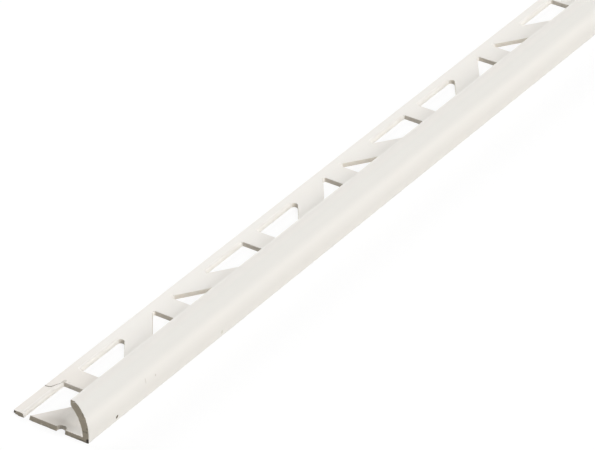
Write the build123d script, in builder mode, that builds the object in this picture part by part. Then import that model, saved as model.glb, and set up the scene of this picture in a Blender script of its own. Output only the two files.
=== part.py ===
"""Round-edge tile trim: one length of extruded white PVC.

The section is a thin flat leg that is bedded in adhesive under the tile, with a wall rising from
its front edge and curling back over the leg to a square lip, which the edge of the tile meets.
The leg is punched along its length with a repeating row of holes that the adhesive keys into.

X runs along the length, the rounded face looks towards -Y and the leg lies on Z = 0.
The origin is under the middle of the trim's outline. All sizes are in millimetres.
"""

import math
import os

from build123d import *

# Overall sizes of the stock.
LENGTH = 1000.0
HEIGHT = 10.0
WIDTH = 20.5

# Section: the leg, the wall of the rounded face, and the lip that the tile meets.
LEG_THICKNESS = 1.1
WALL_THICKNESS = 1.6
LIP_REACH = 4.6
LIP_DEPTH = 1.55
FACE_RADIUS = 10.0
NOSE_RADIUS = 3.0
FOOT_RADIUS = 0.4
ROOT_RADIUS = 0.3

# Punched row: four-sided holes with a square end and a slanting end, in pairs that face each other.
# Each pair stands either side of a square rib, and every second pair is turned end over end,
# so that a slanting rib of about the same width is left between one pair and the next.
# The four punches are not quite alike: each leaves its own short side beside the rib.
PITCH = 69.4
FIRST_RIB = 17.6
RIB_WIDTH = 6.0
TURNED_RIB_WIDTH = 6.7
OUTER_STRIP = 2.85
ROW_WIDTH = 11.2
SLANT_RUN = 15.75
LEFT_SHORT_SIDE = 0.55
RIGHT_SHORT_SIDE = 1.0
TURNED_LEFT_SHORT_SIDE = 0.7
TURNED_RIGHT_SHORT_SIDE = 1.05
LEFT_TIP_RADIUS = 0.5
TIP_RADIUS = 0.85
CORNER_RADIUS = 0.25

LEFT_END = -LENGTH / 2
FRONT = -WIDTH / 2
BACK = WIDTH / 2
ROW_MIDDLE = BACK - OUTER_STRIP - ROW_WIDTH / 2


def section_outline():
    """Draws the closed outline of the section, with the front of the face at Y = FRONT."""
    lip_y = FRONT + LIP_REACH
    nose_centre = (lip_y, HEIGHT - NOSE_RADIUS)
    # The face arc touches the upright front and, from inside, the smaller nose arc.
    rise = math.sqrt((FACE_RADIUS - NOSE_RADIUS) ** 2 - (FACE_RADIUS - LIP_REACH) ** 2)
    face_centre = (FRONT + FACE_RADIUS, nose_centre[1] - rise)
    share = FACE_RADIUS / (FACE_RADIUS - NOSE_RADIUS)
    shoulder = (
        face_centre[0] + share * (nose_centre[0] - face_centre[0]),
        face_centre[1] + share * (nose_centre[1] - face_centre[1]),
    )
    face_foot = (FRONT, face_centre[1])
    root = (FRONT + WALL_THICKNESS, LEG_THICKNESS)
    lip_top = (lip_y, HEIGHT)
    lip_under = (lip_y, HEIGHT - LIP_DEPTH)
    Line((BACK, 0), (FRONT, 0))
    Line((FRONT, 0), face_foot)
    TangentArc(face_foot, shoulder, tangent=(0, 1))
    TangentArc(lip_top, shoulder, tangent=(-1, 0))
    Line(lip_top, lip_under)
    TangentArc(root, lip_under, tangent=(0, 1))
    Line(root, (BACK, LEG_THICKNESS))
    Line((BACK, LEG_THICKNESS), (BACK, 0))


def punched_hole(side, turn, rib_width, short_side, tip_radius):
    """One hole beside a square rib at X = 0: side 1 is right of it, turn 1 has the long side outermost."""
    near = rib_width / 2
    half_row = ROW_WIDTH / 2
    corners = [
        (near, half_row),
        (near + short_side + SLANT_RUN, half_row),
        (near + short_side, -half_row),
        (near, -half_row),
    ]
    with BuildSketch() as hole:
        with BuildLine():
            Polyline(*[(side * x, turn * y) for x, y in corners], close=True)
        make_face()
        by_reach = sorted(hole.vertices(), key=lambda corner: abs(corner.X))
        fillet(by_reach[-1], tip_radius)
        by_reach = sorted(hole.vertices(), key=lambda corner: abs(corner.X))
        fillet(by_reach[:3], CORNER_RADIUS)
    return hole.sketch


# The square ribs along the length; a pair too many at each end lets the end cuts fall where they may.
first_rib = LEFT_END + FIRST_RIB - PITCH / 2
rib_count = math.ceil(LENGTH / (PITCH / 2)) + 2

with BuildPart() as tile_trim:
    with BuildSketch(Plane.YZ.offset(LEFT_END)) as section:
        with BuildLine():
            section_outline()
        make_face()
        front_foot = section.vertices().sort_by_distance((FRONT, 0, 0))[0]
        fillet(front_foot, FOOT_RADIUS)
        inner_root = section.vertices().sort_by_distance((FRONT + WALL_THICKNESS, LEG_THICKNESS, 0))[0]
        fillet(inner_root, ROOT_RADIUS)
    extrude(amount=LENGTH)

    # The adhesive holes, cut through the leg from end to end.
    with BuildSketch(Plane.XY.offset(LEG_THICKNESS)):
        for number in range(rib_count):
            with Locations((first_rib + number * PITCH / 2, ROW_MIDDLE)):
                if number % 2 == 0:
                    add(punched_hole(-1, -1, TURNED_RIB_WIDTH, TURNED_LEFT_SHORT_SIDE, TIP_RADIUS))
                    add(punched_hole(1, -1, TURNED_RIB_WIDTH, TURNED_RIGHT_SHORT_SIDE, TIP_RADIUS))
                else:
                    add(punched_hole(-1, 1, RIB_WIDTH, LEFT_SHORT_SIDE, LEFT_TIP_RADIUS))
                    add(punched_hole(1, 1, RIB_WIDTH, RIGHT_SHORT_SIDE, TIP_RADIUS))
    extrude(amount=-LEG_THICKNESS, mode=Mode.SUBTRACT)

tile_trim.part.label = "tile_trim"

os.makedirs("parts", exist_ok=True)
export_step(tile_trim.part, "parts/tile_trim.step")
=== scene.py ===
"""Looks of a round-edge tile trim: one length of white extruded PVC with a punched leg.

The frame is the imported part's: X runs along the length, the rounded face looks towards -Y and the
leg lies on Z = 0. The trim's sizes are written in millimetres, and MM turns them to metres. The
studio's are in metres.
"""

import math

import bmesh
import bpy
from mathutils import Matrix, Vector


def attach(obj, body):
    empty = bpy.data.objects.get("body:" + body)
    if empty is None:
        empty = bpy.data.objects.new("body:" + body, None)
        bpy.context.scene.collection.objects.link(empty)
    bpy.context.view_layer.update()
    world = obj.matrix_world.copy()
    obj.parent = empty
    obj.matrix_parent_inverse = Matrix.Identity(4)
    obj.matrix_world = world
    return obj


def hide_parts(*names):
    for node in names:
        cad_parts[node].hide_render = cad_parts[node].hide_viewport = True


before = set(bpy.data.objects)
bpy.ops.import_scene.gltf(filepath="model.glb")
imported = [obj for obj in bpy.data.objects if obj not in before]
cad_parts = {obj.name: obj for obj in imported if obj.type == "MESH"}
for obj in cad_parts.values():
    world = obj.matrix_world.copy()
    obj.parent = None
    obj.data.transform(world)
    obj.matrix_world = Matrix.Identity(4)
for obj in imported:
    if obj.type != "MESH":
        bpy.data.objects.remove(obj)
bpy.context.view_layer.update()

MM = 0.001
ALONG = (1, 0, 0)

# The stock and its section, the same sizes as the part's.
LENGTH = 1000.0
HEIGHT = 10.0
WIDTH = 20.5
LEG_THICKNESS = 1.1
WALL_THICKNESS = 1.6
LIP_REACH = 4.6
LIP_DEPTH = 1.55
FACE_RADIUS = 10.0
NOSE_RADIUS = 3.0
FOOT_RADIUS = 0.4
ROOT_RADIUS = 0.3
ARRIS_RADIUS = 0.15

# How many facets each round of the section is drawn with.
FACE_FACETS = 22
NOSE_FACETS = 12
HOLLOW_FACETS = 18
FOOT_FACETS = 5
ROOT_FACETS = 4
ARRIS_FACETS = 3

# The punched row.
PITCH = 69.4
FIRST_RIB = 17.6
RIB_WIDTH = 6.0
TURNED_RIB_WIDTH = 6.7
SLANT_RUN = 15.75
LEFT_SHORT_SIDE = 0.55
RIGHT_SHORT_SIDE = 1.0
TURNED_LEFT_SHORT_SIDE = 0.7
TURNED_RIGHT_SHORT_SIDE = 1.05
OUTER_STRIP = 2.85
ROW_WIDTH = 11.2
LEFT_TIP_RADIUS = 0.5
TIP_RADIUS = 0.85
CORNER_RADIUS = 0.25

# Facets at a hole's sharp tip, its blunt corner and its two square corners.
TIP_FACETS = 8
BLUNT_FACETS = 3
SQUARE_FACETS = 4

# Bevel profiles: the plain round, and the one that makes the round of a sharp tip about circular.
ROUND_PROFILE = 0.5
TIP_PROFILE = 0.38

# A punch drags the skin down with it: how far each step goes in from the hole's top edge and down,
# and how much further the narrow outer strip is drawn over at the same steps.
ROLL_STEPS = ((0.06, 0.04), (0.04, 0.1), (0.03, 0.15), (0.015, 0.25), (0.005, 0.3))
ROLL_OVER = sum(inwards for inwards, downwards in ROLL_STEPS)
STRIP_DRAG = (0.7, 0.42, 0.24, 0.1, 0.02)

# How far a cutting tool stands clear of the leg.
CLEAR = 2.0

# Points this close are made one, and a point this close to a place counts as at it.
MERGE_WITHIN = 0.001
CLOSE = 0.01

NEAR_END = -LENGTH / 2
FRONT = -WIDTH / 2
BACK = WIDTH / 2
ROW_MIDDLE = BACK - OUTER_STRIP - ROW_WIDTH / 2

# The sawn near end: rings of edges at these depths keep its waver to the end, its edges longer than
# a step are cut up, and a rim is set in round it.
SAW_DEPTHS = (0.6, 1.4)
SAW_STEP = 1.2
SAW_CUTS = 14
SAW_RIM = 0.1
SAW_WAVER = 0.04
SAW_SEED = 5

# A spot beside the near end, from which no two of its points are equally far.
SAW_ORDER_SPOT = (-511.3, 37.1, -23.7)

# How far the blade leaned back over the leg's thickness, each side of the notch: from Y, to Y, lean.
SAW_LEANS = ((-1.7, 7.0, 0.32), (-8.3, -3.3, 0.1))

# Nicks where the blade broke out of the skin: Y, Z, reach, and the step that the edge was pushed by.
NICKS = (
    (-6.6, 9.85, 0.2, (0.16, 0.02, -0.06)),
    (-8.95, 7.9, 0.28, (0.25, 0.05, -0.02)),
    (-9.5, 6.6, 0.28, (0.15, 0.05, 0.0)),
    (-9.05, 7.75, 0.2, (0.0, -0.12, 0.1)),
    (10.2, 1.0, 0.25, (0.12, -0.12, -0.06)),
    (10.2, 0.05, 0.3, (0.06, -0.05, 0.3)),
    (9.5, 0.0, 0.42, (0.0, 0.0, 0.16)),
    (6.2, 0.55, 0.7, (0.05, -0.25, 0.0)),
)

# The round notch that broke out of the leg where the saw met a hole's tip, as (X, Y).
NOTCH = (
    (-500.6, -1.4), (-499.6, -1.45), (-499.24, -1.53), (-498.95, -1.68), (-498.76, -1.95),
    (-498.68, -2.3), (-498.78, -2.62), (-499.05, -2.95), (-499.4, -3.25), (-499.8, -3.5),
    (-500.6, -3.75),
)

# The hairline crack from the leg's free edge to the first hole's corner, as (X, Y, width).
CRACK = (
    (-488.75, 10.9, 0.22), (-488.68, 9.9, 0.28), (-488.55, 9.3, 0.36), (-488.27, 8.8, 0.33),
    (-487.8, 8.52, 0.27), (-487.1, 8.26, 0.2), (-486.3, 7.97, 0.14), (-485.6, 7.79, 0.11),
    (-484.9, 7.6, 0.07),
)
CRACK_DEPTH = 0.3

# The chip low on the rounded face.
CHIP_PLACE = (-489.6, FRONT - 0.05, 1.2)
CHIP_HALF = (0.5, 0.24, 0.36)
CHIP_SLANT = math.radians(25)
CHIP_RAGGED = 0.05
CHIP_SEED = 2

# Edges that turn less than this are shaded as a round.
SMOOTH_BELOW = math.radians(32)

# A face whose normal has this much of an axis in it is square to that axis.
SQUARE_TO_AXIS = 0.9

# How the tests for dressing know a face: a sawn one is about square to the length, a punched wall is
# steep, and the drawn strip looks towards its hole. The rest keep each test off the faces beside it.
SAWN_SQUARE = 0.8
PUNCHED_LEAN = 0.6
TOWARDS_HOLE = 0.05
STRIP_MARGIN = 0.1
SKIN_MARGIN = 0.005
CRACK_REACH = 0.6
CHIP_REACH = 1.2
CHIP_SKIN = 0.02

# Whites of the stock, its cut faces, and the dirt, with painted shade and painted light among them.
PVC_COOL = "#EFEDE8"
PVC_WARM = "#F1EDE7"
# Painted shade, for the band on the rounded face.
PVC_PAINTED_SHADE = "#E3E1DC"
# Painted light, for the faces of the drawn strip.
PVC_PAINTED_LIGHT = "#F8F5F0"
CUT_PALE = "#EEE8DF"
CUT_DARK = "#E3DCD1"
# Painted shade, for the sawn near end.
SAWN_END_SHADE = "#CFC3AD"
GRIME_DARK = "#4A4238"
GRIME_PALE = "#8A7F70"
# Painted shade, for the faces inside the hairline crack.
CRACK_SHADE_DARK = "#9D9690"
CRACK_SHADE_PALE = "#C6C0B9"

# Rigid PVC's index of refraction, and how rough its surfaces are. The die lines vary the skin's.
PVC_IOR = 1.53
SKIN_ROUGHNESS = (0.5, 0.6)
CUT_ROUGHNESS = 0.75
DRAWN_ROUGHNESS = 0.6
GRIME_ROUGHNESS = 0.9

# Sizes of the patterns: die lines, clouding of the white, torn grain of a cut, lumps of dirt. The
# die lines, grain and lumps are drawn coarser than real ones, which are too fine to show.
DIE_LINE_LENGTH = 80
DIE_LINE_GAP = 0.6
DIE_LINE_DEPTH = 0.01
SKIN_CLOUD = 7
DRAWN_CLOUD = 3
CUT_GRAIN = 0.5
CUT_GRAIN_DEPTH = 0.05
DIRT_LUMP = 0.2

# The band of painted shade on the rounded face: heights over which it comes in, and over which it goes.
SHADE_BAND_IN = (5.2, 7.6)
SHADE_BAND_OUT = (9.8, 8.9)

# Painted shade on the sawn near end, a darker brown: depths from the near end over which it comes in, and
# its strength.
END_SHADE_IN = (0.6, 0.2)
END_SHADE_STRENGTH = 0.7

# The share of the way from a mark's rim to its middle over which it comes to its full strength.
MARK_RIM = 0.5

# Marks on the skin, on both the skin and the drawn strip, and on the cut faces: what the mark is, its
# middle, half sizes, colour and strength. Some on the skin are painted shade and painted light.
SKIN_MARKS = (
    # Painted shade: the leg is painted darker by the near end.
    ("painted shade on the leg by the near end", (-500.0, 5.0, 1.1), (36.0, 12.0, 1.2), "#EBE6DF", 1.0),
    # Painted light: the hollow under the lip is painted paler.
    ("painted light in the hollow", (-494.4, -3.3, 1.1), (4.2, 4.0, 0.8), "#F8F4ED", 1.0),
    # Painted shade: the leg is painted darker along the sawn end, round the notch.
    ("painted shade along the sawn end", (-500.0, -0.6, 1.1), (4.0, 5.5, 0.8), "#DAD4CB", 0.8),
    ("upright scratch on the face", (-478.66, -10.06, 4.35), (0.25, 0.8, 0.9), "#B9B1A4", 0.3),
    ("short scratch on the face", (-475.05, -10.15, 3.92), (0.3, 0.4, 0.4), "#B0A898", 0.35),
    ("smudge on the lip", (-471.6, -4.28, 10.0), (0.5, 0.5, 0.4), "#C4BBAA", 0.6),
    ("mark by the first rib", (-484.75, 6.35, 1.1), (0.25, 0.45, 0.3), "#C2BDB3", 0.35),
    ("faint mark low on the face", (-449.65, -10.25, 1.25), (0.55, 0.4, 0.6), "#D9D7C9", 0.65),
)
STRIP_MARKS = (
    ("shade at the first hole's corner", (-485.0, 7.5, 1.1), (0.85, 0.55, 0.3), "#AFA89B", 0.55),
)
CUT_MARKS = (
    ("dirt along the foot", (-500.0, -8.7, 0.1), (0.5, 2.6, 0.4), "#4A3F30", 0.5),
    ("dirt on the foot's corner", (-500.0, -10.1, 0.55), (0.9, 0.75, 0.85), "#2A2012", 0.95),
    ("speck in the wall", (-500.0, -9.67, 2.85), (0.5, 0.4, 0.35), "#6B604F", 0.45),
    ("speck by the face", (-500.0, -9.87, 3.73), (0.5, 0.35, 0.4), "#6B604F", 0.45),
    ("speck by the hollow", (-500.0, -8.98, 2.78), (0.5, 0.35, 0.35), "#6B604F", 0.4),
    ("smear by the shoulder", (-500.0, -8.82, 7.09), (0.5, 0.4, 0.7), "#7A6F5E", 0.3),
    ("dirt on the free edge", (-500.0, 10.1, 0.8), (0.6, 0.6, 0.6), "#3A3024", 0.9),
)

# Sockets of a Mix node that is set to colours.
MIX_FACTOR, MIX_A, MIX_B, MIX_OUT = 0, 6, 7, 2

# The floor, a hair below the leg, and the surround.
FLOOR_SIZE = 14
FLOOR_GAP = 0.02
FLOOR_BOUNCE = "#BEBBB5"
FLOOR_SEEN = "#787878"
FLOOR_GLOW = 0.85
SURROUND_LEVEL = 0.01
WHITE = "#FFFFFF"

# Softboxes: name, place, size and power. All are turned to one place on the trim.
SOFTBOX_TARGET = (-0.1, 0.0, 0.0)
SOFTBOXES = (
    ("key softbox", (-0.6, -2.6, 3.4), (2.5, 1.6), 90.0),
    ("shoulder softbox", (0.4, -3.2, 2.6), (3.0, 1.0), 54.0),
    ("side softbox", (1.0, -4.0, 0.7), (5.0, 1.4), 47.0),
    ("back softbox", (1.8, 4.2, 1.8), (4.0, 2.0), 220.0),
    ("end softbox", (-3.0, 1.2, 3.0), (2.0, 2.0), 12.0),
)

# The camera, at the photograph's viewing angle. Lens and sensor are in the camera's own millimetres.
CAMERA_PLACE = (-1.0809, -0.45715, 0.5195)
CAMERA_TARGET = (-0.4013, 0.00195, 0.0)
CAMERA_LENS = 250.54
CAMERA_SENSOR = 36
CAMERA_REACH = 100


def metres(*sizes):
    """Sizes in millimetres as metres."""
    return tuple(size * MM for size in sizes)


def start_piece(name, where):
    """Adds a small plane and draws it together to one point, left selected in edit mode."""
    bpy.ops.object.select_all(action="DESELECT")
    bpy.ops.mesh.primitive_plane_add(size=MM, location=metres(*where))
    bpy.ops.object.transform_apply(location=True, rotation=True, scale=True)
    piece = bpy.context.object
    piece.name = name
    piece.data.name = name
    bpy.ops.object.mode_set(mode="EDIT")
    bpy.ops.mesh.select_mode(type="VERT")
    bpy.ops.mesh.merge(type="CENTER")
    return piece


def draw_line(start, end):
    """Extrudes the selected point by the step from start to end."""
    step = Vector(end) - Vector(start)
    bpy.ops.mesh.extrude_vertices_move(TRANSFORM_OT_translate={"value": step * MM})


def spin_arc(middle, turn, facets):
    """Spins the selected point round the middle of an arc of the section, given as (Y, Z)."""
    bpy.ops.mesh.spin(steps=facets, angle=turn, center=metres(NEAR_END, *middle), axis=ALONG)


def extrude_by(*step):
    """Extrudes the selected faces by a step."""
    bpy.ops.mesh.extrude_region_move(TRANSFORM_OT_translate={"value": metres(*step)})


def fill_outline():
    """Closes a drawn outline with one face."""
    bpy.ops.mesh.select_all(action="SELECT")
    bpy.ops.mesh.remove_doubles(threshold=MERGE_WITHIN * MM)
    bpy.ops.mesh.edge_face_add()


def face_outwards():
    """Turns every face of the piece outwards."""
    bpy.ops.mesh.select_all(action="SELECT")
    bpy.ops.mesh.normals_make_consistent(inside=False)


def select_points(piece, wanted):
    """In edit mode, selects the points whose place in millimetres passes the test."""
    bpy.ops.mesh.select_mode(type="VERT")
    bpy.ops.mesh.select_all(action="DESELECT")
    shape = bmesh.from_edit_mesh(piece.data)
    for point in shape.verts:
        point.select = bool(wanted(point.co / MM))
    shape.select_flush_mode()
    bmesh.update_edit_mesh(piece.data)


def select_faces(piece, wanted):
    """In edit mode, selects the faces whose middle in millimetres and normal pass the test."""
    bpy.ops.mesh.select_mode(type="FACE")
    bpy.ops.mesh.select_all(action="DESELECT")
    shape = bmesh.from_edit_mesh(piece.data)
    for face in shape.faces:
        face.select_set(bool(wanted(face.calc_center_median() / MM, face.normal)))
    bmesh.update_edit_mesh(piece.data)


def round_corner(piece, corner, tangent, facets, profile=ROUND_PROFILE):
    """Rounds one corner of a filled outline, from this far along both of its edges."""
    spot = Vector(corner)
    select_points(piece, lambda place: (place - spot).length < CLOSE)
    bpy.ops.mesh.bevel(offset=tangent * MM, segments=facets, profile=profile, affect="VERTICES")


def apply_modifiers(piece):
    """Applies a piece's modifiers and leaves it alone selected."""
    bpy.ops.object.select_all(action="DESELECT")
    piece.select_set(True)
    bpy.context.view_layer.objects.active = piece
    for modifier in list(piece.modifiers):
        bpy.ops.object.modifier_apply(modifier=modifier.name)


def cut_away(piece, cutter):
    """Cuts one piece's solid out of another's, and removes the cutter."""
    cut = piece.modifiers.new("cut", "BOOLEAN")
    cut.operation = "DIFFERENCE"
    cut.solver = "EXACT"
    cut.object = cutter
    apply_modifiers(piece)
    bpy.data.objects.remove(cutter)


def section_corners():
    """The section's corners and the middles of its arcs, as (Y, Z)."""
    lip_y = FRONT + LIP_REACH
    nose = (lip_y, HEIGHT - NOSE_RADIUS)
    rise = math.sqrt((FACE_RADIUS - NOSE_RADIUS) ** 2 - (FACE_RADIUS - LIP_REACH) ** 2)
    face = (FRONT + FACE_RADIUS, nose[1] - rise)
    root = (FRONT + WALL_THICKNESS, LEG_THICKNESS)
    lip_under = (lip_y, HEIGHT - LIP_DEPTH)
    # The hollow's arc leaves the root upright, so its middle is level with the root.
    across = lip_under[0] - root[0]
    up = lip_under[1] - root[1]
    hollow_radius = (across ** 2 + up ** 2) / (2 * across)
    hollow = (root[0] + hollow_radius, root[1])
    return lip_y, nose, face, root, lip_under, hollow, hollow_radius


def extruded_length():
    """The plain stock: its section drawn at the near end by lines and spins, pulled to its length."""
    lip_y, nose, face, root, lip_under, hollow, hollow_radius = section_corners()
    shoulder = math.atan2(nose[1] - face[1], nose[0] - face[0])
    hollow_turn = math.asin((lip_under[1] - hollow[1]) / hollow_radius)
    piece = start_piece("trim", (NEAR_END, BACK, 0))
    draw_line((0, BACK, 0), (0, FRONT, 0))
    draw_line((0, FRONT, 0), (0, FRONT, face[1]))
    spin_arc(face, math.pi - shoulder, FACE_FACETS)
    spin_arc(nose, shoulder - math.pi / 2, NOSE_FACETS)
    draw_line((0, lip_y, HEIGHT), (0, *lip_under))
    spin_arc(hollow, -hollow_turn, HOLLOW_FACETS)
    draw_line((0, *root), (0, BACK, LEG_THICKNESS))
    fill_outline()
    round_corner(piece, (NEAR_END, FRONT, 0), FOOT_RADIUS, FOOT_FACETS)
    round_corner(piece, (NEAR_END, *root), ROOT_RADIUS, ROOT_FACETS)
    for corner in ((lip_y, HEIGHT), lip_under, (BACK, 0), (BACK, LEG_THICKNESS)):
        round_corner(piece, (NEAR_END, *corner), ARRIS_RADIUS, ARRIS_FACETS)
    bpy.ops.mesh.select_all(action="SELECT")
    extrude_by(LENGTH, 0, 0)
    face_outwards()
    bpy.ops.object.mode_set(mode="OBJECT")
    return piece


def widened(corners, by):
    """A convex outline, listed clockwise, with each of its sides moved outwards by this much."""
    moved = []
    for here, there in zip(corners, corners[1:] + corners[:1]):
        run = (Vector(there) - Vector(here)).normalized()
        out = Vector((-run.y, run.x))
        moved.append((Vector(here) + out * by, run))
    found = []
    for (a, along_a), (b, along_b) in zip(moved[-1:] + moved[:-1], moved):
        reach = (b - a).cross(along_b) / along_a.cross(along_b)
        found.append(a + along_a * reach)
    return found


def hole_punch(side, turn, rib_width, short_side, tip_radius):
    """One punch beside a square rib at X = 0. Side 1 is right of it, turn 1 has the long side outermost."""
    near = rib_width / 2
    far = near + short_side
    half_row = ROW_WIDTH / 2
    sharp = [(near, half_row), (far + SLANT_RUN, half_row), (far, -half_row), (near, -half_row)]
    flat = [(side * x, ROW_MIDDLE + turn * y) for x, y in widened(sharp, ROLL_OVER)]
    corners = [(x, y, LEG_THICKNESS) for x, y in flat]
    piece = start_piece("punch", corners[0])
    for here, there in zip(corners, corners[1:]):
        draw_line(here, there)
    fill_outline()
    half_tip = math.tan(math.atan2(ROW_WIDTH, SLANT_RUN) / 2)
    tip_tangent = (tip_radius + ROLL_OVER) / half_tip
    square_tangent = CORNER_RADIUS + ROLL_OVER
    round_corner(piece, corners[1], tip_tangent, TIP_FACETS, TIP_PROFILE)
    round_corner(piece, corners[2], square_tangent * half_tip, BLUNT_FACETS)
    round_corner(piece, corners[3], square_tangent, SQUARE_FACETS)
    round_corner(piece, corners[0], square_tangent, SQUARE_FACETS)
    bpy.ops.mesh.select_all(action="SELECT")
    extrude_by(0, 0, CLEAR)
    face_outwards()
    select_faces(piece, lambda place, normal: normal.z < -SQUARE_TO_AXIS)
    for inwards, downwards in ROLL_STEPS:
        bpy.ops.mesh.inset(thickness=inwards * MM, depth=downwards * MM)
    extrude_by(0, 0, -LEG_THICKNESS - CLEAR)
    drag_strip(piece)
    face_outwards()
    bpy.ops.object.mode_set(mode="OBJECT")
    return piece


def drag_strip(piece):
    """Moves a punch's outermost side out at the top, where the narrow strip beyond it was drawn down."""
    outer = BACK - OUTER_STRIP
    level = LEG_THICKNESS
    gap = ROLL_OVER
    for drag, (inwards, downwards) in zip(STRIP_DRAG, ROLL_STEPS):
        at_top = level == LEG_THICKNESS
        select_points(piece, lambda place: place.y > outer + gap - CLOSE
                      and (abs(place.z - level) < CLOSE or at_top and place.z > level))
        bpy.ops.transform.translate(value=metres(0, drag, 0))
        level -= downwards
        gap -= inwards


def punched_row():
    """All the punches: a pair each side of a rib, arrayed along, and the turned pairs between them."""
    first_rib = NEAR_END + FIRST_RIB
    turned_rib = first_rib - PITCH / 2
    punches = []
    for start, punch_sizes in (
        (first_rib, (-1, 1, RIB_WIDTH, LEFT_SHORT_SIDE, LEFT_TIP_RADIUS)),
        (first_rib, (1, 1, RIB_WIDTH, RIGHT_SHORT_SIDE, TIP_RADIUS)),
        (turned_rib, (-1, -1, TURNED_RIB_WIDTH, TURNED_LEFT_SHORT_SIDE, TIP_RADIUS)),
        (turned_rib, (1, -1, TURNED_RIB_WIDTH, TURNED_RIGHT_SHORT_SIDE, TIP_RADIUS)),
    ):
        punch = hole_punch(*punch_sizes)
        bpy.ops.object.mode_set(mode="EDIT")
        bpy.ops.mesh.select_all(action="SELECT")
        bpy.ops.transform.translate(value=metres(start, 0, 0))
        bpy.ops.object.mode_set(mode="OBJECT")
        row = punch.modifiers.new("along the leg", "ARRAY")
        row.use_relative_offset = False
        row.use_constant_offset = True
        row.constant_offset_displace = metres(PITCH, 0, 0)
        row.count = math.ceil(LENGTH / PITCH)
        apply_modifiers(punch)
        punches.append(punch)
    for punch in punches:
        punch.select_set(True)
    bpy.ops.object.join()
    return bpy.context.object


def upright_prism(name, outline, low, high):
    """A tool with upright sides on an outline of (X, Y) spots."""
    tool = start_piece(name, (*outline[0], low))
    for here, there in zip(outline, outline[1:]):
        draw_line((*here, 0), (*there, 0))
    fill_outline()
    extrude_by(0, 0, high - low)
    face_outwards()
    bpy.ops.object.mode_set(mode="OBJECT")
    return tool


def notch_tool():
    """A tool that takes the round notch out of the leg."""
    return upright_prism("notch", NOTCH, -CLEAR, LEG_THICKNESS + CLEAR)


def crack_blade():
    """A thin blade that follows the hairline crack and has its width."""
    one_side = []
    other_side = []
    for number, (x, y, width) in enumerate(CRACK):
        before = Vector(CRACK[max(number - 1, 0)][:2])
        after = Vector(CRACK[min(number + 1, len(CRACK) - 1)][:2])
        run = (after - before).normalized()
        out = Vector((-run.y, run.x)) * width / 2
        one_side.append(Vector((x, y)) + out)
        other_side.append(Vector((x, y)) - out)
    outline = one_side + other_side[::-1]
    return upright_prism("blade", outline, LEG_THICKNESS - CRACK_DEPTH, LEG_THICKNESS + CLEAR)


def chip_tool():
    """A small slanting lens that takes the chip out of the foot of the rounded face."""
    bpy.ops.object.select_all(action="DESELECT")
    bpy.ops.mesh.primitive_ico_sphere_add(subdivisions=2, radius=MM)
    tool = bpy.context.object
    bpy.ops.object.mode_set(mode="EDIT")
    bpy.ops.transform.resize(value=CHIP_HALF)
    bpy.ops.transform.vertex_random(offset=CHIP_RAGGED * MM, uniform=0, normal=0, seed=CHIP_SEED)
    bpy.ops.transform.rotate(value=CHIP_SLANT, orient_axis="Y", center_override=(0, 0, 0))
    bpy.ops.transform.translate(value=metres(*CHIP_PLACE))
    bpy.ops.object.mode_set(mode="OBJECT")
    return tool


def saw_near_end(piece):
    """Makes the near end a saw cut: it leans, its edges waver, and the blade nicked them here and there."""
    bpy.ops.object.mode_set(mode="EDIT")
    for depth in SAW_DEPTHS:
        bpy.ops.mesh.select_all(action="SELECT")
        bpy.ops.mesh.bisect(plane_co=metres(NEAR_END + depth, 0, 0), plane_no=ALONG)
    bpy.ops.mesh.select_mode(type="EDGE")
    bpy.ops.mesh.select_all(action="DESELECT")
    shape = bmesh.from_edit_mesh(piece.data)
    for edge in shape.edges:
        at_end = all(point.co.x < (NEAR_END + CLOSE) * MM for point in edge.verts)
        edge.select_set(at_end and edge.calc_length() > SAW_STEP * MM)
    bmesh.update_edit_mesh(piece.data)
    bpy.ops.mesh.subdivide(number_cuts=SAW_CUTS)
    select_faces(piece, lambda place, normal: place.x < NEAR_END + CLOSE)
    bpy.ops.mesh.inset(thickness=SAW_RIM * MM)
    select_faces(piece, lambda place, normal: place.x < NEAR_END + SAW_DEPTHS[0])
    bpy.ops.mesh.quads_convert_to_tris(quad_method="BEAUTY", ngon_method="BEAUTY")
    for low_y, high_y, lean in SAW_LEANS:
        for band in range(round(LEG_THICKNESS / SAW_RIM) + 1):
            level = band * SAW_RIM
            select_points(piece, lambda place: place.x < NEAR_END + CLOSE and low_y < place.y < high_y
                          and abs(place.z - level) < SAW_RIM / 2)
            bpy.ops.transform.translate(value=metres(lean * level / LEG_THICKNESS, 0, 0))
    most_lean = max(lean for low_y, high_y, lean in SAW_LEANS)
    select_points(piece, lambda place: place.x < NEAR_END + most_lean)
    # The cuts leave the points in another order each run, so they are put in one before the waver.
    bpy.context.scene.cursor.location = metres(*SAW_ORDER_SPOT)
    bpy.ops.mesh.sort_elements(type="CURSOR_DISTANCE", elements={"VERT"})
    bpy.context.scene.cursor.location = (0, 0, 0)
    bpy.ops.transform.vertex_random(offset=SAW_WAVER * MM, uniform=0, normal=0, seed=SAW_SEED)
    for y, z, reach, step in NICKS:
        spot = Vector((NEAR_END, y, z))
        select_points(piece, lambda place: (place - spot).length < reach)
        bpy.ops.transform.translate(value=metres(*step))
    bpy.ops.object.mode_set(mode="OBJECT")


def whole_trim():
    """The stock with its holes, notch, crack and chip cut out and its near end sawn, smoothly shaded."""
    piece = extruded_length()
    cut_away(piece, punched_row())
    cut_away(piece, notch_tool())
    cut_away(piece, crack_blade())
    cut_away(piece, chip_tool())
    saw_near_end(piece)
    bpy.ops.object.shade_smooth_by_angle(angle=SMOOTH_BELOW)
    evened = piece.modifiers.new("flat faces stay flat", "WEIGHTED_NORMAL")
    evened.keep_sharp = True
    apply_modifiers(piece)
    return piece


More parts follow.
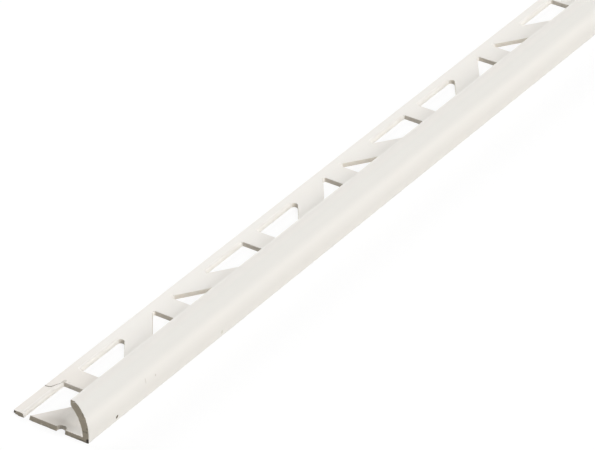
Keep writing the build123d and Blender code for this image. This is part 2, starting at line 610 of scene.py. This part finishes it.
def hex_colour(code):
    """An sRGB hex value as linear red, green, blue and alpha."""
    shares = [int(code[i:i + 2], 16) / 255 for i in (1, 3, 5)]
    linear = [s / 12.92 if s <= 0.04045 else ((s + 0.055) / 1.055) ** 2.4 for s in shares]
    return (*linear, 1.0)


def add_node(tree, kind, inputs=None, **settings):
    """Adds a node with its settings, and gives each input a value or a link from another node's output."""
    made = tree.nodes.new(kind)
    for name, value in settings.items():
        setattr(made, name, value)
    for name, value in (inputs or {}).items():
        if isinstance(value, bpy.types.NodeSocket):
            tree.links.new(value, made.inputs[name])
        else:
            made.inputs[name].default_value = value
    return made


def empty_material(name):
    """A new material and its node tree, with nothing in it yet."""
    material = bpy.data.materials.new(name)
    material.use_nodes = True
    material.node_tree.nodes.clear()
    return material, material.node_tree


def marked(tree, place, colour, marks):
    """Lays marks over a colour, each a soft spot that fades out towards its rim."""
    for what, middle, half, code, strength in marks:
        spot = add_node(tree, "ShaderNodeMapping", {
            "Vector": place, "Location": metres(*middle), "Scale": metres(*half),
        }, vector_type="TEXTURE")
        ball = add_node(tree, "ShaderNodeTexGradient", {
            "Vector": spot.outputs["Vector"],
        }, gradient_type="SPHERICAL")
        share = add_node(tree, "ShaderNodeMapRange", {
            "Value": ball.outputs["Fac"], "From Min": 0.0, "From Max": MARK_RIM,
            "To Min": 0.0, "To Max": strength,
        }, interpolation_type="SMOOTHSTEP")
        layer = add_node(tree, "ShaderNodeMix", {
            MIX_FACTOR: share.outputs["Result"], MIX_A: colour, MIX_B: hex_colour(code),
        }, data_type="RGBA", label=what)
        colour = layer.outputs[MIX_OUT]
    return colour


def extruded_pvc():
    """Rigid PVC as it leaves the die: an even satin white, slightly clouded, with faint lines along it, a
    band of painted shade on the rounded face, and marks, some of them painted shade and painted light.
    """
    material, tree = empty_material("extruded rigid PVC, white")
    place = add_node(tree, "ShaderNodeTexCoord").outputs["Object"]
    # Die lines, long along the trim and close together across it.
    drawn = add_node(tree, "ShaderNodeMapping", {
        "Vector": place,
        "Scale": (1 / (DIE_LINE_LENGTH * MM), 1 / (DIE_LINE_GAP * MM), 1 / (DIE_LINE_GAP * MM)),
    })
    lines = add_node(tree, "ShaderNodeTexNoise", {
        "Vector": drawn.outputs["Vector"], "Scale": 1.0, "Detail": 2.0,
    })
    # Clouding of the white, between a cooler and a warmer one.
    cloud = add_node(tree, "ShaderNodeTexNoise", {
        "Vector": place, "Scale": 1 / (SKIN_CLOUD * MM), "Detail": 3.0,
    })
    clouded = add_node(tree, "ShaderNodeMix", {
        MIX_FACTOR: cloud.outputs["Fac"], MIX_A: hex_colour(PVC_COOL), MIX_B: hex_colour(PVC_WARM),
    }, data_type="RGBA")
    # Painted shade: the upper part of the rounded face is painted a little greyer, up to the nose.
    height = add_node(tree, "ShaderNodeSeparateXYZ", {"Vector": place}).outputs["Z"]
    above = add_node(tree, "ShaderNodeMapRange", {
        "Value": height, "From Min": SHADE_BAND_IN[0] * MM, "From Max": SHADE_BAND_IN[1] * MM,
    }, interpolation_type="SMOOTHSTEP")
    below = add_node(tree, "ShaderNodeMapRange", {
        "Value": height, "From Min": SHADE_BAND_OUT[0] * MM, "From Max": SHADE_BAND_OUT[1] * MM,
    }, interpolation_type="SMOOTHSTEP")
    band = add_node(tree, "ShaderNodeMath", {
        0: above.outputs["Result"], 1: below.outputs["Result"],
    }, operation="MULTIPLY")
    shade_banded = add_node(tree, "ShaderNodeMix", {
        MIX_FACTOR: band.outputs[0], MIX_A: clouded.outputs[MIX_OUT], MIX_B: hex_colour(PVC_PAINTED_SHADE),
    }, data_type="RGBA")
    colour = marked(tree, place, shade_banded.outputs[MIX_OUT], SKIN_MARKS + STRIP_MARKS)
    gloss = add_node(tree, "ShaderNodeMapRange", {
        "Value": lines.outputs["Fac"], "From Min": 0.3, "From Max": 0.7,
        "To Min": SKIN_ROUGHNESS[0], "To Max": SKIN_ROUGHNESS[1],
    })
    relief = add_node(tree, "ShaderNodeBump", {
        "Height": lines.outputs["Fac"], "Strength": 0.25, "Distance": DIE_LINE_DEPTH * MM,
    })
    shader = add_node(tree, "ShaderNodeBsdfPrincipled", {
        "Base Color": colour, "Roughness": gloss.outputs["Result"], "IOR": PVC_IOR,
        "Normal": relief.outputs["Normal"],
    })
    add_node(tree, "ShaderNodeOutputMaterial", {"Surface": shader.outputs["BSDF"]})
    return material


def cut_pvc():
    """The same PVC where a saw or punch cut it: torn a little rough, so duller, a little darker and warmer,
    and dirty, with painted shade on the sawn near end.
    """
    material, tree = empty_material("sawn and punched rigid PVC")
    place = add_node(tree, "ShaderNodeTexCoord").outputs["Object"]
    # Torn grain of the cut.
    grain = add_node(tree, "ShaderNodeTexNoise", {
        "Vector": place, "Scale": 1 / (CUT_GRAIN * MM), "Detail": 3.0,
    })
    torn = add_node(tree, "ShaderNodeMix", {
        MIX_FACTOR: grain.outputs["Fac"], MIX_A: hex_colour(CUT_DARK), MIX_B: hex_colour(CUT_PALE),
    }, data_type="RGBA")
    # The sawn near end is painted browner and darker than the holes: painted shade on the end.
    along = add_node(tree, "ShaderNodeSeparateXYZ", {"Vector": place}).outputs["X"]
    at_end = add_node(tree, "ShaderNodeMapRange", {
        "Value": along,
        "From Min": (NEAR_END + END_SHADE_IN[0]) * MM, "From Max": (NEAR_END + END_SHADE_IN[1]) * MM,
        "To Min": 0.0, "To Max": END_SHADE_STRENGTH,
    })
    end_shaded = add_node(tree, "ShaderNodeMix", {
        MIX_FACTOR: at_end.outputs["Result"], MIX_A: torn.outputs[MIX_OUT], MIX_B: hex_colour(SAWN_END_SHADE),
    }, data_type="RGBA")
    colour = marked(tree, place, end_shaded.outputs[MIX_OUT], CUT_MARKS)
    relief = add_node(tree, "ShaderNodeBump", {
        "Height": grain.outputs["Fac"], "Strength": 0.4, "Distance": CUT_GRAIN_DEPTH * MM,
    })
    shader = add_node(tree, "ShaderNodeBsdfPrincipled", {
        "Base Color": colour, "Roughness": CUT_ROUGHNESS, "IOR": PVC_IOR,
        "Normal": relief.outputs["Normal"],
    })
    add_node(tree, "ShaderNodeOutputMaterial", {"Surface": shader.outputs["BSDF"]})
    return material


def drawn_pvc_painted_light():
    """The outer strip where the punch drew it over, painted paler than the skin: painted light on the drawn
    faces, which the lip shades.
    """
    material, tree = empty_material("drawn rigid PVC, painted lighter")
    place = add_node(tree, "ShaderNodeTexCoord").outputs["Object"]
    # Clouding of the white, mostly the paler one, which is painted light.
    cloud = add_node(tree, "ShaderNodeTexNoise", {
        "Vector": place, "Scale": 1 / (DRAWN_CLOUD * MM), "Detail": 2.0,
    })
    share = add_node(tree, "ShaderNodeMapRange", {
        "Value": cloud.outputs["Fac"], "From Min": 0.2, "From Max": 0.6,
    })
    clouded = add_node(tree, "ShaderNodeMix", {
        MIX_FACTOR: share.outputs["Result"], MIX_A: hex_colour(PVC_WARM), MIX_B: hex_colour(PVC_PAINTED_LIGHT),
    }, data_type="RGBA")
    colour = marked(tree, place, clouded.outputs[MIX_OUT], STRIP_MARKS)
    shader = add_node(tree, "ShaderNodeBsdfPrincipled", {
        "Base Color": colour, "Roughness": DRAWN_ROUGHNESS, "IOR": PVC_IOR,
    })
    add_node(tree, "ShaderNodeOutputMaterial", {"Surface": shader.outputs["BSDF"]})
    return material


def grime_and_shade(name, dark, pale):
    """Dark, dull and uneven colour where the white is broken: workshop dirt in the chip, and painted shade
    in the hairline crack.
    """
    material, tree = empty_material(name)
    place = add_node(tree, "ShaderNodeTexCoord").outputs["Object"]
    # Lumps of dirt.
    lumps = add_node(tree, "ShaderNodeTexNoise", {
        "Vector": place, "Scale": 1 / (DIRT_LUMP * MM), "Detail": 2.0,
    })
    uneven = add_node(tree, "ShaderNodeMix", {
        MIX_FACTOR: lumps.outputs["Fac"], MIX_A: hex_colour(dark), MIX_B: hex_colour(pale),
    }, data_type="RGBA")
    shader = add_node(tree, "ShaderNodeBsdfPrincipled", {
        "Base Color": uneven.outputs[MIX_OUT], "Roughness": GRIME_ROUGHNESS,
    })
    add_node(tree, "ShaderNodeOutputMaterial", {"Surface": shader.outputs["BSDF"]})
    return material


def in_cut(place, normal):
    """Whether a face was sawn, at an end, or punched, on a hole's wall."""
    sawn = abs(normal.x) > SAWN_SQUARE and abs(place.x) > LENGTH / 2 - SAW_DEPTHS[0]
    in_row = -ROLL_OVER < place.y - ROW_MIDDLE + ROW_WIDTH / 2 < ROW_WIDTH - STRIP_MARGIN
    punched = in_row and CLOSE < place.z < LEG_THICKNESS - CLOSE and abs(normal.z) < PUNCHED_LEAN
    return sawn or punched


def in_roll(place, normal):
    """Whether a face is on the side of the outer strip that the punch drew down."""
    from_hole = place.y - BACK + OUTER_STRIP
    within = -STRIP_MARGIN / 2 < from_hole < ROLL_OVER + STRIP_DRAG[0]
    in_thickness = CLOSE < place.z < LEG_THICKNESS - SKIN_MARGIN
    return within and normal.y < -TOWARDS_HOLE and in_thickness


def in_crack(place, normal):
    """Whether a face is inside the hairline crack, by the crack's width at that place."""
    if not LEG_THICKNESS - CRACK_DEPTH - CLOSE < place.z < LEG_THICKNESS - CLOSE:
        return False
    for (x, y, width), (next_x, next_y, next_width) in zip(CRACK, CRACK[1:]):
        run = Vector((next_x - x, next_y - y))
        reach = place.xy - Vector((x, y))
        share = min(max(reach.dot(run) / run.length_squared, 0), 1)
        gap = (reach - run * share).length
        if gap < CRACK_REACH * (width + (next_width - width) * share):
            return True
    return False


def in_chip(place, normal):
    """Whether a face is inside the chip at the foot of the rounded face."""
    return (place - Vector(CHIP_PLACE)).length < CHIP_REACH and place.y > FRONT + CHIP_SKIN


def dress(piece, wanted, material):
    """Gives a material to the faces that pass the test."""
    piece.data.materials.append(material)
    piece.active_material_index = len(piece.data.materials) - 1
    bpy.ops.object.mode_set(mode="EDIT")
    select_faces(piece, wanted)
    bpy.ops.object.material_slot_assign()
    bpy.ops.object.mode_set(mode="OBJECT")


def seen_white(tree):
    """1 for what the camera sees, straight or in a reflection, and 0 for light that falls on the trim."""
    rays = add_node(tree, "ShaderNodeLightPath")
    straight = add_node(tree, "ShaderNodeMath", {
        0: rays.outputs["Is Camera Ray"], 1: rays.outputs["Is Glossy Ray"],
    }, operation="MAXIMUM")
    either = add_node(tree, "ShaderNodeMath", {
        0: straight.outputs[0], 1: rays.outputs["Is Transmission Ray"],
    }, operation="MAXIMUM")
    return either.outputs[0]


def studio_floor():
    """A pale floor that reads white to the camera and still takes the trim's soft shadow."""
    bpy.ops.object.select_all(action="DESELECT")
    bpy.ops.mesh.primitive_plane_add(size=FLOOR_SIZE, location=metres(0, 0, -FLOOR_GAP))
    floor = bpy.context.object
    floor.name = "floor"
    material, tree = empty_material("pale studio floor")
    bounce = add_node(tree, "ShaderNodeBsdfDiffuse", {"Color": hex_colour(FLOOR_BOUNCE)})
    shadowed = add_node(tree, "ShaderNodeBsdfDiffuse", {"Color": hex_colour(FLOOR_SEEN)})
    glow = add_node(tree, "ShaderNodeEmission", {"Color": hex_colour(WHITE), "Strength": FLOOR_GLOW})
    both = add_node(tree, "ShaderNodeAddShader", {0: shadowed.outputs[0], 1: glow.outputs[0]})
    surface = add_node(tree, "ShaderNodeMixShader", {
        0: seen_white(tree), 1: bounce.outputs[0], 2: both.outputs[0],
    })
    add_node(tree, "ShaderNodeOutputMaterial", {"Surface": surface.outputs[0]})
    floor.data.materials.append(material)


def studio_world():
    """A dim even surround for the object, white where the camera sees past the floor."""
    world = bpy.data.worlds.new("studio")
    bpy.context.scene.world = world
    world.use_nodes = True
    tree = world.node_tree
    tree.nodes.clear()
    dim = add_node(tree, "ShaderNodeBackground", {
        "Color": hex_colour(WHITE), "Strength": SURROUND_LEVEL,
    })
    white = add_node(tree, "ShaderNodeBackground", {"Color": hex_colour(WHITE), "Strength": 1.0})
    mixed = add_node(tree, "ShaderNodeMixShader", {
        0: seen_white(tree), 1: dim.outputs[0], 2: white.outputs[0],
    })
    add_node(tree, "ShaderNodeOutputWorld", {"Surface": mixed.outputs[0]})


def aim(thing, where, target):
    """Puts a light or the camera at a place and turns it to its target."""
    thing.location = where
    thing.rotation_euler = (Vector(target) - Vector(where)).to_track_quat("-Z", "Y").to_euler()


def softbox(name, where, size, power):
    """A wide white lamp turned to the trim."""
    bpy.ops.object.light_add(type="AREA")
    box = bpy.context.object
    box.name = name
    box.data.shape = "RECTANGLE"
    box.data.size, box.data.size_y = size
    box.data.energy = power
    box.data.color = hex_colour(WHITE)[:3]
    aim(box, where, SOFTBOX_TARGET)


def studio_camera():
    """The camera that sees the trim as the photograph does."""
    bpy.ops.object.camera_add()
    camera = bpy.context.object
    camera.data.sensor_fit = "HORIZONTAL"
    camera.data.sensor_width = CAMERA_SENSOR
    camera.data.lens = CAMERA_LENS
    camera.data.clip_end = CAMERA_REACH
    aim(camera, CAMERA_PLACE, CAMERA_TARGET)
    bpy.context.scene.camera = camera


trim = whole_trim()
trim.data.materials.append(extruded_pvc())
dress(trim, in_cut, cut_pvc())
# The drawn strip's faces get painted light.
dress(trim, in_roll, drawn_pvc_painted_light())
# The crack's faces get painted shade.
dress(trim, in_crack, grime_and_shade("painted shade in a hairline crack", CRACK_SHADE_DARK, CRACK_SHADE_PALE))
dress(trim, in_chip, grime_and_shade("workshop dirt lodged in PVC", GRIME_DARK, GRIME_PALE))
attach(trim, "root")
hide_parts("tile_trim")

studio_floor()
studio_world()
for light in SOFTBOXES:
    softbox(*light)
studio_camera()
bpy.context.scene.view_settings.view_transform = "Standard"
